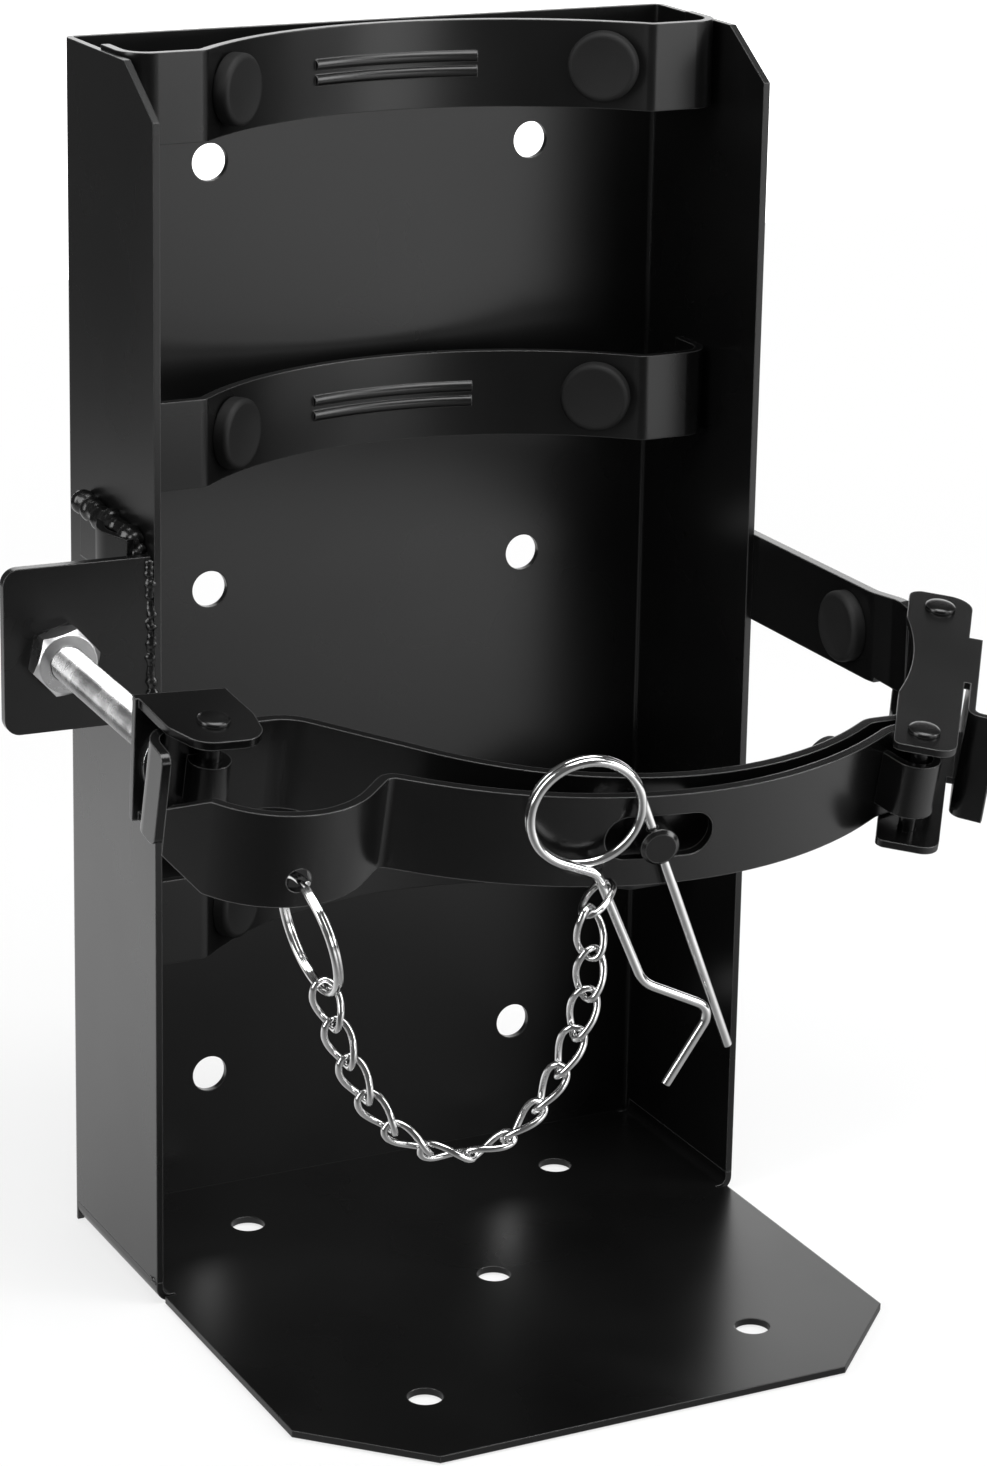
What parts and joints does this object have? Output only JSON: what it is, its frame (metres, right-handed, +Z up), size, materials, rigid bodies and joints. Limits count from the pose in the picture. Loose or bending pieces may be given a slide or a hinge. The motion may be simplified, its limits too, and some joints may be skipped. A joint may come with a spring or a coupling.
{
  "type": "fire extinguisher bracket",
  "caption": "Wall or floor bracket that cradles an extinguisher cylinder against padded straps and clamps it with an over-centre toggle band locked by a hairpin",
  "frame": {"origin": "on the underside of the base plate, at the centre of its fixing holes", "axes": "+Z up, +Y towards the wall, +X to the right seen from the front"},
  "size_m": [0.2601, 0.2407, 0.358],
  "materials": {
    "black_coat": "satin black powder coat",
    "rubber": "matte black rubber",
    "zinc_plate": "bright zinc plate"
  },
  "bodies": {
    "frame": {"adjuster_bolt": "zinc_plate", "adjuster_ear": "black_coat", "arm_pad": "rubber", "back_channel": "black_coat", "base_plate": "black_coat", "clevis": "black_coat", "clevis_pin": "black_coat", "clevis_washer": "zinc_plate", "ear_gusset": "black_coat", "hinge_arm": "black_coat", "lock_nut": "zinc_plate", "lower_cradle_strap": "black_coat", "lower_left_pad": "rubber", "lower_right_pad": "rubber", "middle_cradle_strap": "black_coat", "middle_left_pad": "rubber", "middle_right_pad": "rubber", "rear_nut": "zinc_plate", "top_cradle_strap": "black_coat", "top_left_pad": "rubber", "top_right_pad": "rubber"},
    "clamp": {"clamp_band": "black_coat", "left_band_pad": "rubber", "middle_band_pad": "rubber", "right_band_pad": "rubber", "lock_stud": "black_coat"},
    "lever": {"lever_band": "black_coat", "lever_eye": "black_coat", "lever_pivot_pin": "black_coat", "split_ring": "zinc_plate", "safety_chain": "zinc_plate"},
    "link": {"toggle_link": "black_coat", "link_rear_pin": "black_coat", "link_front_pin": "black_coat"},
    "hairpin": {"hitch_pin": "zinc_plate"}
  },
  "joints": [
    {"name": "band_swing", "type": "hinge", "parent": "frame", "child": "clamp", "pos_m": [-0.12416, -0.07985, 0.19689], "axis": [0.0292, -0.1822, 0.9828], "range_deg": [-1.8, 0]},
    {"name": "link_swing", "type": "hinge", "parent": "frame", "child": "link", "pos_m": [0.10356, -0.05799, 0.19419], "axis": [0.0292, -0.1822, 0.9828], "range_deg": [0, 14.7]},
    {"name": "lever_opening", "type": "hinge", "parent": "clamp", "child": "lever", "pos_m": [0.0709, -0.10711, 0.18605], "axis": [0.0292, -0.1822, 0.9828], "range_deg": [0, 60]},
    {"name": "hairpin_pull", "type": "slide", "parent": "lever", "child": "hairpin", "axis": [-0.3886, -0.0901, 0.917], "range_m": [0, 0.075], "deforming": ["safety_chain"]}
  ],
  "couplings": [
    {"joint": "band_swing", "follows": "lever_opening", "ratio": -0.02911},
    {"joint": "link_swing", "follows": "lever_opening", "ratio": 0.24319}
  ]
}
